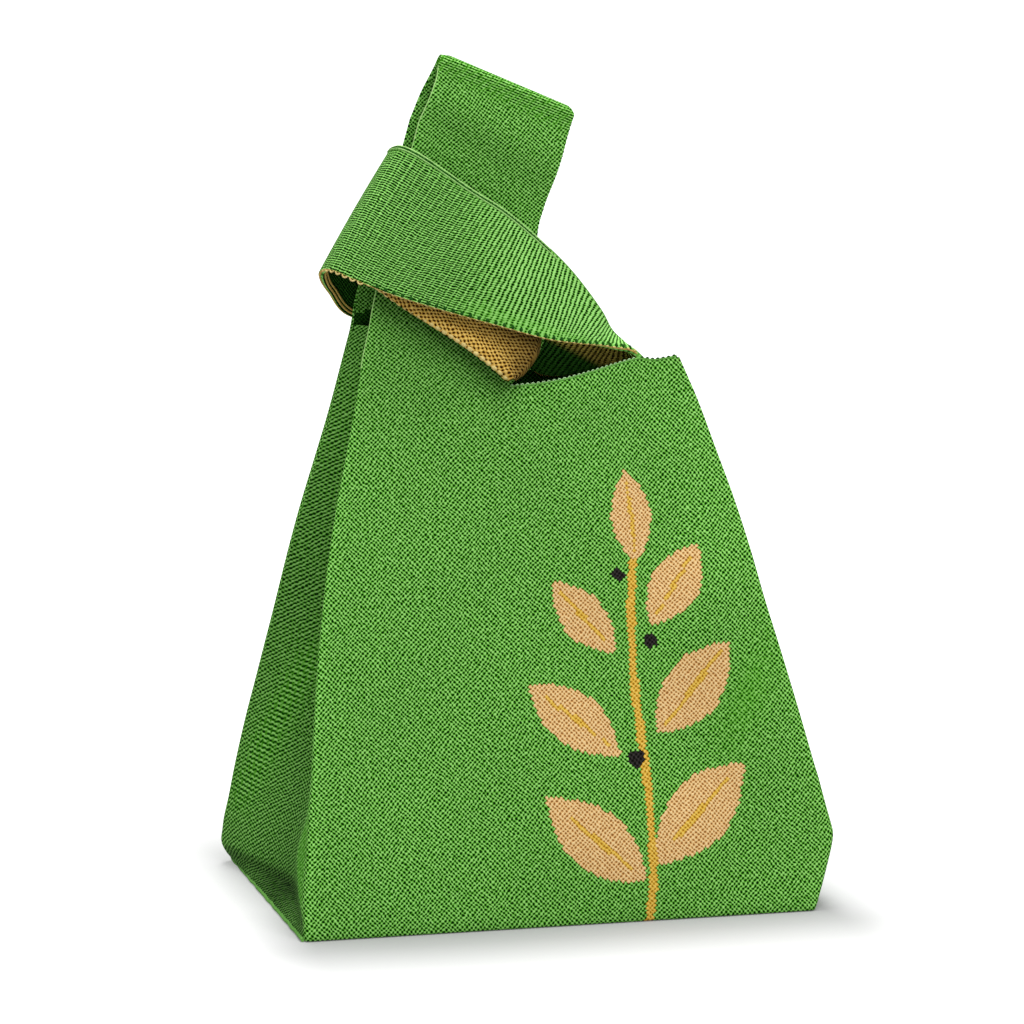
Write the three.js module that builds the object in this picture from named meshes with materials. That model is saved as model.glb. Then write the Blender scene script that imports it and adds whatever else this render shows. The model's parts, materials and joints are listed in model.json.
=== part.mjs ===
// A knitted knot bag: a gusseted body whose carry strap passes up through a wrap band.
// Millimetres, +Z up, the front towards -Y. Heights are measured from the floor, and x from the middle of the base.
import * as THREE from 'three';
import { mergeVertices } from 'three/addons/utils/BufferGeometryUtils.js';

// Fabric
const knit = 2.2; // thickness of the double-faced knit
const seam = 0.3; // gap kept between two pieces that lie on each other

// Body
const baseWidth = 210;
const baseDepth = 140;
const neckHeight = 208; // lowest point of the neckline
const neckLeft = 8.4; // how far left of the middle that point lies
const shoulderHeight = 216; // tip of the right shoulder
const shoulderReach = 64.4; // from the middle to that tip
const shoulderGap = 12; // front to back at that tip, outside
const rightBulge = 9.3; // how far the right side swells past the base
const bulgeHeight = 28;
const leanHeight = 345; // where front and back would meet
const leanGap = 5; // front to back there
const leanCurve = 1.6; // 1 leans straight, more hangs in a curve
const pinchLeft = 10; // the shoulder draws in from this x
const pinchLow = 110; // and from this height
const gussetTop = 236;
const gussetFold = 26; // depth of the inward pleat
const ledgeHeight = 15; // the pleat reaches half its depth here
const hemWidth = 3.4;

// Carry strap and its upper end, the tab
const strapBend = { left: [-42.6, 314], right: [10.6, 278.4] }; // line where the tab folds over
const tabTop = { left: [-31.7, 337.6], right: [22.2, 313.1] };
const tongueRadius = 2.35; // rounded foot of the tab, in the fold
const tabFullness = 3; // how far each layer of the tab bows out
const strapShort = 1.5; // the strap's layers end this far below the fold

// Wrap band
const bandFront = 9.2; // middle of the band's thickness at the upper edge, before the strap
const edgingSize = 1.8; // thickness of the picot and bound edges
const rootHeight = 24;
const rootWidth = 13;

// Colours, in sRGB
const green = '#5a9a3c';
const darkGreen = '#3f7330';
const gold = '#b7975a';
const paleGreen = '#8fbf6a';

// Outlines of the front, as x at each height
const leftSide = smooth([
  [0, -baseWidth / 2], [15, -baseWidth / 2 + 0.4], [30, -102.7], [60, -98.8], [100, -93.2], [150, -84.6],
  [200, -72.5], [250, -61.4], [303, -47.2], [leanHeight, -29.5],
]);
const rightSide = smooth([
  [0, baseWidth / 2], [bulgeHeight / 2, baseWidth / 2 + 0.8 * rightBulge], [bulgeHeight, baseWidth / 2 + rightBulge],
  [60, 107.5], [100, 98.2], [150, 85.2], [200, 70.5], [shoulderHeight, shoulderReach],
]);
// Right edge of the carry strap, from the neckline up to the fold
const strapRight = [[-neckLeft, neckHeight + seam], [0.5, 216.5], [7, 226], [8, 246], [7, 266], strapBend.right];
const strapLeft = [
  [leftSide(neckHeight), neckHeight + seam], [leftSide(222), 222], [leftSide(240), 240],
  [-58, 262], [-50, 288], strapBend.left,
];
// Both edges of the band, front root first, then round the left end and back: [x, y, z]
const bandUpper = [
  [46, -1.6, 220.8], [39, -3, 226.5], [31.5, -6, 236], [19, -10, 253], [6.5, -11.5, 268], [-8, -11.5, 278],
  [-22, -10.6, 287], [-36, -9.8, 296], [-44, -bandFront, 301.2], [-48.8, -5.5, 304.2],
  [-50.4, 0, 305.2], [-48.8, 5.5, 304.2],
  [-44, bandFront, 301.2], [-36, 9.8, 296], [-22, 10.6, 287], [-8, 11.5, 278], [6.5, 11.5, 268],
  [19, 10, 253], [31.5, 6, 236], [39, 3, 226.5], [46, 1.6, 220.8],
];
const bandLower = [
  [46.5, -4.9, 217.9], [38, -8, 220.5], [30, -11.5, 223.3], [19, -17, 226], [6, -20.8, 229], [-14, -21.5, 234.3],
  [-36, -20.6, 240], [-57, -19.5, 246.5], [-71, -16.5, 251], [-78.5, -10, 254],
  [-80.5, 0, 254.7], [-77.5, 10, 251],
  [-71, 15.8, 244], [-61.5, 18.5, 234], [-42, 20.5, 228.5], [-20, 21, 226], [2, 20.5, 224],
  [18, 17, 222], [30, 11.5, 220.6], [38, 8, 219.4], [46.5, 4.9, 217.9],
];
// The turned-out facing of the neckline: its free beaded edge and its fold
const lapelEdge = [
  [-10.4, 20.4, 209.6], [-14.5, 21, 215], [-25, 18.9, 224.6], [-40.5, 15.9, 235.2], [-55, 13.8, 244.6],
];
const lapelFold = [
  [-7.4, 20.4, 210.4], [-2.5, 19.4, 214.6], [3.2, 18.1, 221], [6, 16.6, 226.5], [6.8, 15.7, 231],
];

const bag = new THREE.Group();

// A smooth line through pairs of position and value, read at a position
function smooth(pairs) {
  const positions = pairs.map((pair) => pair[0]);
  const curve = new THREE.CubicInterpolant(positions, pairs.map((pair) => pair[1]), 1);
  return (at) => curve.evaluate(THREE.MathUtils.clamp(at, positions[0], positions.at(-1)))[0];
}

function curveThrough(points) {
  return new THREE.CatmullRomCurve3(points.map((p) => new THREE.Vector3(...p)), false, 'centripetal');
}

const ease = (value, low, high) => THREE.MathUtils.smoothstep(value, low, high);
const mix = THREE.MathUtils.lerp;

// Half the outside depth of the body at a place on its front
function halfDepth(x, z) {
  const rise = Math.max(0, 1 - z / leanHeight);
  const depth = leanGap / 2 + (baseDepth / 2 - leanGap / 2) * rise ** leanCurve;
  const atShoulder = leanGap / 2 + (baseDepth / 2 - leanGap / 2) * (1 - shoulderHeight / leanHeight) ** leanCurve;
  const drawnIn = ease(x, pinchLeft, shoulderReach) * ease(z, pinchLow, shoulderHeight);
  return depth - (atShoulder - shoulderGap / 2) * drawnIn;
}

// A closed solid from a box whose corners are placed by u, v (0 to 1) and side (0 outside, 1 inside)
function sheet(uSteps, vSteps, place) {
  const geometry = new THREE.BoxGeometry(1, 1, 1, uSteps, vSteps, 1);
  geometry.deleteAttribute('normal');
  geometry.deleteAttribute('uv');
  const spots = geometry.getAttribute('position');
  for (let i = 0; i < spots.count; i += 1) {
    const point = place(spots.getX(i) + 0.5, spots.getY(i) + 0.5, 0.5 - spots.getZ(i));
    spots.setXYZ(i, point.x, point.y, point.z);
  }
  return facingOut(mergeVertices(geometry));
}

function facingOut(geometry) {
  const spots = geometry.getAttribute('position');
  const index = geometry.getIndex();
  const [a, b, c] = [new THREE.Vector3(), new THREE.Vector3(), new THREE.Vector3()];
  let volume = 0;
  for (let i = 0; i < index.count; i += 3) {
    a.fromBufferAttribute(spots, index.getX(i));
    b.fromBufferAttribute(spots, index.getX(i + 1));
    c.fromBufferAttribute(spots, index.getX(i + 2));
    volume += a.dot(b.cross(c));
  }
  if (volume < 0) {
    const turned = Array.from(index.array);
    for (let i = 0; i < turned.length; i += 3) [turned[i], turned[i + 1]] = [turned[i + 1], turned[i]];
    geometry.setIndex(turned);
  }
  geometry.computeVertexNormals();
  return geometry;
}

function add(name, geometry, color) {
  const mesh = new THREE.Mesh(geometry, new THREE.MeshStandardMaterial({ color, roughness: 0.9, metalness: 0 }));
  mesh.name = name;
  bag.add(mesh);
  return mesh;
}

// Front and back of the body: `way` is -1 for the front and 1 for the back
function bodyPanel(way) {
  const neck = (-neckLeft - leftSide(neckHeight)) / (rightSide(neckHeight) - leftSide(neckHeight));
  return sheet(14, 22, (u, v, side) => {
    const across = u < 0.5 ? 2 * u * neck : neck + (2 * u - 1) * (1 - neck);
    const top = mix(neckHeight, shoulderHeight, ease(across, neck, 1));
    const z = mix(knit + seam, top, v);
    const x = mix(leftSide(z), rightSide(z), across);
    return new THREE.Vector3(x, way * (halfDepth(x, z) - side * knit), z);
  });
}

// A side wall, pleated inwards: `way` is -1 for the left and 1 for the right
function gusset(way, outline, top) {
  const soft = 0.12; // rounds the fold
  const crest = Math.hypot(1, soft) - soft;
  const low = knit + seam;
  return sheet(14, 18, (u, v, side) => {
    const z = mix(low, top, v);
    const edge = outline(z);
    const span = halfDepth(edge, z) - knit - seam;
    const across = 2 * u - 1;
    const inwards = (Math.hypot(1, soft) - Math.hypot(across, soft)) / crest;
    const deep = gussetFold * (0.5 * ease(z, low, ledgeHeight) + 0.5 * ease(z, ledgeHeight, 120));
    const fold = deep * (1 - 0.55 * ease(z, 170, gussetTop));
    return new THREE.Vector3(edge - way * (seam + fold * inwards + side * knit), across * span, z);
  });
}

// A half-round bar between two points of the x-z plane, its round side away from the bag
function halfRound(from, to, radius) {
  const section = new THREE.Shape();
  section.absarc(0, 0, radius, 0, Math.PI, false);
  section.closePath();
  const along = new THREE.Vector3(to[0] - from[0], 0, to[1] - from[1]);
  const geometry = new THREE.ExtrudeGeometry(section, { depth: along.length(), bevelEnabled: false, curveSegments: 8 });
  const out = new THREE.Vector3(0, 1, 0).cross(along).normalize().negate();
  const across = out.clone().cross(along.clone().normalize());
  const turn = new THREE.Matrix4().makeBasis(across, out, along.clone().normalize());
  geometry.applyMatrix4(turn).translate(from[0], 0, from[1]);
  return welded(geometry);
}

function welded(geometry) {
  geometry.deleteAttribute('normal');
  geometry.deleteAttribute('uv');
  return facingOut(mergeVertices(geometry, 1e-4));
}

// A thin round edging along a curve
function edging(curve, size, steps) {
  const section = new THREE.Shape();
  section.absarc(0, 0, size / 2, 0, 2 * Math.PI, false);
  return welded(new THREE.ExtrudeGeometry(section, { steps, extrudePath: curve, curveSegments: 3 }));
}

function buildBody() {
  add('front_panel', bodyPanel(-1), green);
  add('back_panel', bodyPanel(1), green);
  add('left_gusset', gusset(-1, leftSide, gussetTop), darkGreen);
  add('right_gusset', gusset(1, rightSide, shoulderHeight - rootHeight - seam), darkGreen);
  const inside = baseWidth - 2 * (hemWidth + seam);
  add('base_panel', new THREE.BoxGeometry(inside, baseDepth, knit).translate(0, 0, knit / 2), green);
  for (const [name, way] of [['base_hem_left', -1], ['base_hem_right', 1]]) {
    const section = new THREE.Shape();
    section.moveTo(0, 0);
    section.lineTo(hemWidth, 0);
    section.lineTo(hemWidth, knit * 0.45);
    section.quadraticCurveTo(hemWidth, knit, hemWidth - knit * 0.55, knit);
    section.lineTo(0, knit);
    section.closePath();
    const roll = new THREE.ExtrudeGeometry(section, { depth: baseDepth, bevelEnabled: false, curveSegments: 4 });
    roll.rotateX(Math.PI / 2).translate(baseWidth / 2 - hemWidth, baseDepth / 2, 0);
    if (way < 0) roll.rotateZ(Math.PI);
    add(name, welded(roll), green);
  }
}

// The standing part of the carry strap, on one side of it
function strapLayer(way) {
  const left = curveThrough(strapLeft.map(([x, z]) => [x, 0, z]));
  const right = curveThrough(strapRight.map(([x, z]) => [x, 0, z]));
  const down = foldOut().multiplyScalar(-strapShort);
  return sheet(8, 14, (u, v, side) => {
    const place = left.getPoint(v).lerp(right.getPoint(v), u).addScaledVector(down, ease(v, 0.7, 1));
    const beside = tongueRadius + seam + knit;
    place.y = way * (mix(halfDepth(place.x, place.z), beside, ease(v, 0.45, 0.98)) - side * knit);
    return place;
  });
}

// Direction in the x-z plane from the fold line towards the top of the tab
function foldOut() {
  const along = new THREE.Vector3(strapBend.right[0] - strapBend.left[0], 0, strapBend.right[1] - strapBend.left[1]);
  return new THREE.Vector3(-along.z, 0, along.x).normalize();
}

function tabLayer(way) {
  const lower = [new THREE.Vector3(strapBend.left[0], 0, strapBend.left[1]),
    new THREE.Vector3(strapBend.right[0], 0, strapBend.right[1])];
  const upper = [new THREE.Vector3(tabTop.left[0], 0, tabTop.left[1]),
    new THREE.Vector3(tabTop.right[0], 0, tabTop.right[1])];
  const out = foldOut();
  const rows = 14;
  const footRows = 4;
  return sheet(8, rows, (u, v, side) => {
    const row = Math.round(v * rows);
    const angle = (Math.PI / 2) * (1 - row / footRows);
    const up = Math.max(0, (row - footRows) / (rows - footRows));
    const place = lower[0].clone().lerp(lower[1], u);
    place.lerp(upper[0].clone().lerp(upper[1], u), up);
    const innermost = seam / 2;
    let outside = tongueRadius + tabFullness * Math.sin(Math.PI * up) ** 2;
    let inside = outside - knit + innermost / 2;
    if (row < footRows) {
      place.addScaledVector(out, -tongueRadius * Math.sin(angle) * 0.93);
      outside = innermost + 0.3 + (tongueRadius - innermost - 0.3) * Math.cos(angle);
      inside = innermost;
    }
    place.y = way * mix(outside, Math.max(innermost, inside), side);
    return place;
  });
}

function buildStrap() {
  add('front_strap_layer', strapLayer(-1), green);
  add('back_strap_layer', strapLayer(1), green);
  add('tab_front_layer', tabLayer(-1), green);
  add('tab_back_layer', tabLayer(1), green);
  const lift = foldTop().multiplyScalar(seam);
  const from = [tabTop.left[0] + lift.x, tabTop.left[1] + lift.z];
  const to = [tabTop.right[0] + lift.x, tabTop.right[1] + lift.z];
  add('tab_top_fold', halfRound(from, to, tongueRadius), green);
}

function foldTop() {
  const along = new THREE.Vector3(tabTop.right[0] - tabTop.left[0], 0, tabTop.right[1] - tabTop.left[1]);
  return new THREE.Vector3(-along.z, 0, along.x).normalize();
}

// A strip of the band between two fractions of its way round
function bandPart(upper, lower, from, to, steps) {
  const middle = (t, v) => lower.getPoint(t).lerp(upper.getPoint(t), v);
  const near = 0.002;
  return sheet(steps, 6, (u, v, side) => {
    const t = mix(from, to, u);
    const inset = edgingSize + seam;
    const width = upper.getPoint(t).distanceTo(lower.getPoint(t));
    const across = mix(Math.min(0.25, inset / width), 1 - Math.min(0.25, inset / width), v);
    const along = middle(Math.min(1, t + near), across).sub(middle(Math.max(0, t - near), across));
    const rise = middle(t, 1).sub(middle(t, 0));
    const out = rise.cross(along).normalize();
    return middle(t, across).addScaledVector(out, (0.5 - side) * knit);
  });
}

function buildBand() {
  const upper = curveThrough(bandUpper);
  const lower = curveThrough(bandLower);
  const foldFrom = 8 / (bandUpper.length - 1);
  const foldTo = 12 / (bandUpper.length - 1);
  const split = seam / 2 / upper.getLength();
  add('band_front_run', bandPart(upper, lower, 0, foldFrom - split, 22), green);
  add('band_end_fold', bandPart(upper, lower, foldFrom + split, foldTo - split, 12), green);
  add('band_back_run', bandPart(upper, lower, foldTo + split, 1, 22), green);
  add('band_upper_edging', edging(upper, edgingSize, 64), paleGreen);
  add('band_lower_edging', edging(lower, edgingSize, 64), gold);
  add('band_root', bandRoot(), darkGreen);
}

// The gathered foot of the band, held between front and back above the right gusset
function bandRoot() {
  const top = shoulderHeight + 0.4;
  return sheet(4, 6, (u, v, side) => {
    const z = mix(top - rootHeight, top, v);
    const x = Math.min(rightSide(Math.min(z, shoulderHeight)) - 2, mix(43, 43 + rootWidth, u));
    const half = halfDepth(x, Math.min(z, shoulderHeight)) - knit - seam;
    return new THREE.Vector3(x, mix(-half, half, side), z);
  });
}

function lapel(way) {
  const flip = ([x, y, z]) => [x, way * y, z];
  const edge = curveThrough(lapelEdge.map(flip));
  const fold = curveThrough(lapelFold.map(flip));
  return sheet(6, 12, (u, v, side) => {
    const place = edge.getPoint(v).lerp(fold.getPoint(v), u);
    place.y += way * (0.5 - side) * knit;
    return place;
  });
}

// The picot edging on the right-hand half of a neckline
function neckEdging(way) {
  const points = [];
  const steps = 8;
  for (let i = 0; i <= steps; i += 1) {
    const across = i / steps;
    const z = mix(neckHeight, shoulderHeight, ease(across, 0, 1)) + seam + edgingSize / 2;
    const x = mix(-neckLeft + 2, shoulderReach, across);
    points.push([x, way * (halfDepth(x, z) - knit / 2), z]);
  }
  return edging(curveThrough(points), edgingSize, 24);
}

function buildNeck() {
  add('front_neck_lapel', lapel(-1), gold);
  add('back_neck_lapel', lapel(1), gold);
  add('front_neck_edging', neckEdging(-1), paleGreen);
  add('back_neck_edging', neckEdging(1), paleGreen);
}

buildBody();
buildStrap();
buildBand();
buildNeck();

// The origin is the middle of the underside of the whole bag's box
const box = new THREE.Box3().setFromObject(bag);
bag.position.set(-(box.min.x + box.max.x) / 2, -(box.min.y + box.max.y) / 2, -box.min.z);

export default bag;
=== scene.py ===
# Looks for the knitted knot bag: cloth walls, wrap band, edgings, light and camera.
# Shapes are worked out in millimetres from the middle of the base, then placed in metres.
import functools
import json
import math

import bpy
from mathutils import Matrix, Vector


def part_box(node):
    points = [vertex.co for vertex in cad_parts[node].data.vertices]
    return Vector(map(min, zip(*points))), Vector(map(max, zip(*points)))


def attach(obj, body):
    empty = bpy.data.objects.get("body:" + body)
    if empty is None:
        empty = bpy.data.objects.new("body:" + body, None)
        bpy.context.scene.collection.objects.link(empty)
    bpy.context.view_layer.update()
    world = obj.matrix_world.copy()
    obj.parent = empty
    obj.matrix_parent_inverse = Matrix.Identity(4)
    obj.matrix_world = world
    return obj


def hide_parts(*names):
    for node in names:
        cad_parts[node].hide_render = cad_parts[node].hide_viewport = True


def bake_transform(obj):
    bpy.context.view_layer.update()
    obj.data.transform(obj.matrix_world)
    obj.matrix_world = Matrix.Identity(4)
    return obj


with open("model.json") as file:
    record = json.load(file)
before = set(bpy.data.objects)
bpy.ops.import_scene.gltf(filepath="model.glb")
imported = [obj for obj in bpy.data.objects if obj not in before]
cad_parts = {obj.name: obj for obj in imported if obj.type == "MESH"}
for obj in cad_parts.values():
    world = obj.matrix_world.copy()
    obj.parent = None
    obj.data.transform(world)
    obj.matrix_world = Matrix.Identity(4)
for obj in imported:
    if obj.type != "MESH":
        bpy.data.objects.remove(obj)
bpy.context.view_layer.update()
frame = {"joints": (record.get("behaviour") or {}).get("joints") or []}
baseLow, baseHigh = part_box("base_panel")
baseMiddle = (baseLow.x + baseHigh.x) / 2  # the base sits a little left of the whole bag's middle
bpy.ops.object.select_all(action="DESELECT")


def toFrame(x, y, z):
    return Vector((x / 1000 + baseMiddle, y / 1000, z / 1000))


def ease(value, low, high):
    t = min(1.0, max(0.0, (value - low) / (high - low)))
    return t * t * (3 - 2 * t)


def mix(a, b, t):
    return a + (b - a) * t


def hump(value, middle, spread):
    return math.exp(-(((value - middle) / spread) ** 2))


# A smooth line through (position, value) pairs, read at a position
def smoothLine(pairs):
    at = [p[0] for p in pairs]
    value = [p[1] for p in pairs]
    last = len(at) - 1
    slope = []
    for i in range(last + 1):
        a, b = max(0, i - 1), min(last, i + 1)
        slope.append((value[b] - value[a]) / (at[b] - at[a]))

    def read(x):
        x = min(at[-1], max(at[0], x))
        i = max(k for k in range(last) if at[k] <= x)
        h = at[i + 1] - at[i]
        t = (x - at[i]) / h
        t2, t3 = t * t, t * t * t
        return (
            (2 * t3 - 3 * t2 + 1) * value[i]
            + (t3 - 2 * t2 + t) * h * slope[i]
            + (3 * t2 - 2 * t3) * value[i + 1]
            + (t3 - t2) * h * slope[i + 1]
        )

    return read


# A smooth path through 3-D points, read from 0 to 1, each point an equal share of the way
def smoothPath(points):
    axes = [smoothLine([(i / (len(points) - 1), p[k]) for i, p in enumerate(points)]) for k in range(3)]
    return lambda t: Vector([axis(t) for axis in axes])


bag = {
    "knit": 2.1,  # thickness of the double-faced knit
    "baseWidth": 210,
    "baseDepth": 140,
    "neckHeight": 208,
    "neckLeft": 8.4,
    "shoulderHeight": 216,
    "shoulderReach": 64.4,
    "shoulderGap": 12,
    "backDrop": 3.6,
    "leanHeight": 345,
    "leanGap": 5,
    "leanCurve": 1.6,
    "bottomRound": 1.2,
    "gussetTop": 236,
    "gussetFold": 26,
    "ledgeHeight": 6,
}

leftSide = smoothLine([
    (0, -104), (15, -103.3), (30, -101.1), (60, -97.2), (100, -92.6), (150, -84.4),
    (200, -72.5), (250, -61.4), (303, -47.2), (bag["leanHeight"], -29.5),
])
rightSide = smoothLine([
    (0, 105), (3, 106.6), (6, 107.7), (14, 110.6), (22, 113.4), (27, 114.8), (30, 115), (33, 114.4),
    (40, 112.8), (60, 108.6), (80, 104), (100, 99), (120, 93.8),
    (140, 89.4), (160, 84.4), (180, 78.4), (200, 72.1), (bag["shoulderHeight"], 65.6),
])
# How far the left crease of the back swells out, and at the floor draws in
backSwell = smoothLine([
    (0, -1.8), (4.6, 2.2), (9, 4.3), (14, 4.5), (20, 4.9), (28, 5.0), (44, 5.2), (64, 4.6), (85, 3.0), (105, 1.8),
    (126, 1.0), (160, 0.3), (190, 0),
])

strapBend = ((-42.6, 314), (9.8, 278.4))
tabTop = ((-31.7, 338.5), (22.6, 313.7))
strapLeftEdge = smoothPath([
    *((leftSide(z), 0, z) for z in (bag["neckHeight"], 222, 240)),
    (-58, 0, 262), (-50, 0, 288), (strapBend[0][0], 0, strapBend[0][1]),
])
strapRightEdge = smoothPath([
    (-bag["neckLeft"], 0, bag["neckHeight"]), (0.5, 0, 216.5), (7, 0, 226), (8, 0, 246), (6.6, 0, 266),
    (strapBend[1][0], 0, strapBend[1][1]),
])


# Half the outside depth of the body at a place on its front
def halfDepth(x, z):
    spread = bag["baseDepth"] / 2 - bag["leanGap"] / 2
    rise = max(0.0, 1 - z / bag["leanHeight"])
    depth = bag["leanGap"] / 2 + spread * rise ** bag["leanCurve"]
    atShoulder = bag["leanGap"] / 2 + spread * (1 - bag["shoulderHeight"] / bag["leanHeight"]) ** bag["leanCurve"]
    drawnIn = ease(x, 10, bag["shoulderReach"]) * ease(z, 110, bag["shoulderHeight"])
    return depth - (atShoulder - bag["shoulderGap"] / 2) * drawnIn


# How far the cloth stands out from its even shape: soft hollows, a fold from the shoulder, creases at the notch
def sag(x, z, way):
    across = (x - leftSide(z)) / (rightSide(min(z, bag["shoulderHeight"])) - leftSide(z))
    middle = math.sin(math.pi * min(1.0, max(0.0, across)))
    out = -1.6 * middle * ease(z, 10, 90) * (1 - ease(z, 150, 215))
    out += 1.3 * middle * hump(z, 26, 20)
    ridge = mix(62, 88, 1 - z / bag["shoulderHeight"])
    out += 1.5 * hump(x, ridge, 13) * ease(z, 18, 70) * (1 - ease(z, 170, 214))
    out -= 0.9 * hump(x, ridge - 24, 12) * ease(z, 30, 90) * (1 - ease(z, 160, 212))
    beside, below = x + bag["neckLeft"], 214 - z  # from the notch, where the creases fan out
    fan = math.atan2(beside, below)
    away = math.hypot(beside, below)
    out += 0.45 * math.sin(7 * fan + 0.6 * way) * hump(away, 30, 22)
    out += 0.35 * math.sin(x * 0.061 + z * 0.043 + way) + 0.25 * math.sin(x * 0.11 - z * 0.083 + 2 * way)
    return out * ease(z, 0, 12) * ease(middle, 0, 0.25)


def deselect():
    if bpy.context.object and bpy.context.object.mode != "OBJECT":
        bpy.ops.object.mode_set(mode="OBJECT")
    bpy.ops.object.select_all(action="DESELECT")


def makeActive(obj):
    deselect()
    obj.select_set(True)
    bpy.context.view_layer.objects.active = obj


def addObject(name, data):
    obj = bpy.data.objects.new(name, data)
    bpy.context.scene.collection.objects.link(obj)
    return obj


# Runs one mesh operator on the whole of the active mesh
def editWhole(operator, **options):
    bpy.ops.object.mode_set(mode="EDIT")
    bpy.ops.mesh.select_all(action="SELECT")
    operator(**options)
    bpy.ops.object.mode_set(mode="OBJECT")


def applyModifiers(obj):
    makeActive(obj)
    for modifier in list(obj.modifiers):
        bpy.ops.object.modifier_apply(modifier=modifier.name)


# A grid of cloth. place, uv and the tones take a column and a row, counted from 0.
# Tones are kept as attributes: shade makes the colour paler and darker as painted light and shade, courses how far
# the rows of stitches show, crest a raised rib, thin the share of its thickness that the cloth loses, calm how far
# the stitches fade.
def clothGrid(name, columns, rows, place, uv, keep=None, turned=False, **tones):
    deselect()
    bpy.ops.mesh.primitive_grid_add(x_subdivisions=columns, y_subdivisions=rows, size=1, location=(0, 0, 0))
    obj = bpy.context.object
    obj.name = obj.data.name = name
    mesh = obj.data
    spots = [(round((v.co.x + 0.5) * columns), round((v.co.y + 0.5) * rows)) for v in mesh.vertices]
    for v, spot in zip(mesh.vertices, spots):
        v.co = place(*spot)
    layer = mesh.uv_layers.active
    layer.name = "knit"
    for loop in mesh.loops:
        across, along = uv(*spots[loop.vertex_index])
        layer.data[loop.index].uv = (across / 1000, along / 1000)
    for tone in dict.fromkeys(("shade", "courses", "crest", "thin", "calm", *tones)):
        values = mesh.attributes.new(tone, "FLOAT", "POINT").data
        for i, spot in enumerate(spots):
            values[i].value = tones[tone](*spot) if tone in tones else 0.0
    if keep:
        bpy.ops.object.mode_set(mode="EDIT")
        bpy.ops.mesh.select_mode(type="VERT")
        bpy.ops.mesh.select_all(action="DESELECT")
        bpy.ops.object.mode_set(mode="OBJECT")
        for v, spot in zip(mesh.vertices, spots):
            v.select = not keep(*spot)
        bpy.ops.object.mode_set(mode="EDIT")
        bpy.ops.mesh.delete(type="VERT")
    if turned:
        editWhole(bpy.ops.mesh.flip_normals)
    deselect()
    return obj


# Gives cloth its thickness, inwards from its outer face, then raises its ribs on both faces
def thicken(obj, thickness=bag["knit"], offset=-1.0):
    solid = obj.modifiers.new("thickness", "SOLIDIFY")
    solid.thickness = thickness / 1000
    solid.offset = offset
    solid.use_even_offset = False
    solid.material_offset = 1 if len(obj.data.materials) > 1 else 0
    solid.material_offset_rim = 0
    full = obj.vertex_groups.new(name="full")
    for i, spot in enumerate(obj.data.attributes["thin"].data):
        full.add([i], 1 - spot.value, "REPLACE")
    solid.vertex_group = full.name
    applyModifiers(obj)
    obj.vertex_groups.clear()
    crests = obj.data.attributes["crest"].data
    moves = [v.normal * crests[v.index].value / 1000 for v in obj.data.vertices]
    for v, move in zip(obj.data.vertices, moves):
        v.co += move
    makeActive(obj)
    bpy.ops.object.shade_smooth_by_angle(angle=math.radians(50))
    deselect()


def joinPieces(first, others):
    makeActive(first)
    for other in others:
        other.select_set(True)
    bpy.ops.object.join()
    deselect()
    return first


# A round cord through points in millimetres
def tube(name, points, radius):
    deselect()
    line = bpy.data.curves.new(name, "CURVE")
    line.dimensions = "3D"
    line.bevel_depth = radius / 1000
    line.bevel_resolution = 2
    line.use_fill_caps = True
    spline = line.splines.new("POLY")
    spline.points.add(len(points) - 1)
    for spot, point in zip(spline.points, points):
        spot.co = (*toFrame(*point), 1)
    makeActive(addObject(name, line))
    bpy.ops.object.convert(target="MESH")
    bpy.ops.object.shade_smooth()
    return bpy.context.object


# One picot loop to copy: a small ring that stands up along z, with its hole towards y
def loopPattern(size, yarn=0.38):
    deselect()
    bpy.ops.mesh.primitive_torus_add(
        major_segments=10, minor_segments=5, major_radius=size * (1 - yarn) / 1000, minor_radius=size * yarn / 1000,
        location=(0, 0, 0), rotation=(math.pi / 2, 0, 0),
    )
    bpy.ops.object.transform_apply(location=False, rotation=True, scale=False)
    editWhole(bpy.ops.transform.resize, value=(1, 0.8, 1))
    bpy.ops.object.shade_smooth()
    return bpy.context.object


def beadPattern(size, stretch):
    deselect()
    bpy.ops.mesh.primitive_uv_sphere_add(segments=8, ring_count=5, radius=size / 1000, location=(0, 0, 0))
    editWhole(bpy.ops.transform.resize, value=(stretch, 1, 1))
    bpy.ops.object.shade_smooth()
    return bpy.context.object


# Copies of the pattern, each with its own mesh, joined into one piece
def copyAlong(name, pattern, places):
    copies = []
    for place in places:
        copies.append(addObject(name, pattern.data.copy()))
        copies[-1].data.transform(place)
    bpy.data.objects.remove(pattern)
    piece = joinPieces(copies[0], copies[1:])
    piece.name = piece.data.name = name
    return piece


# Length run through at each point of a line
def runOf(points):
    run = [0.0]
    for a, b in zip(points, points[1:]):
        run.append(run[-1] + (b - a).length)
    return run


# For each length wanted, in rising order: the point before it and the share of the way to the next
def alongRun(run, wanted):
    k = 0
    for want in wanted:
        while k < len(run) - 2 and run[k + 1] < want:
            k += 1
        yield k, (want - run[k]) / max(1e-9, run[k + 1] - run[k])


# Places at an even pitch along a path in millimetres: x runs along it, z points outwards
def placesAlong(path, pitch, outward, start=0.0, end=1.0, lift=0.0):
    steps = 600
    ways = [mix(start, end, i / steps) for i in range(steps + 1)]
    points = [path(way) for way in ways]
    run = runOf(points)
    count = max(1, round(run[-1] / pitch))
    places = []
    for k, part in alongRun(run, [(n + 0.5) / count * run[-1] for n in range(count)]):
        point = points[k].lerp(points[k + 1], part)
        along = (points[k + 1] - points[k]).normalized()
        out = outward(ways[k])
        out = (out - along * out.dot(along)).normalized()
        turn = Matrix((along, out.cross(along).normalized(), out)).transposed().to_4x4()
        places.append(Matrix.Translation(toFrame(*(point + out * lift))) @ turn)
    return places


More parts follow.
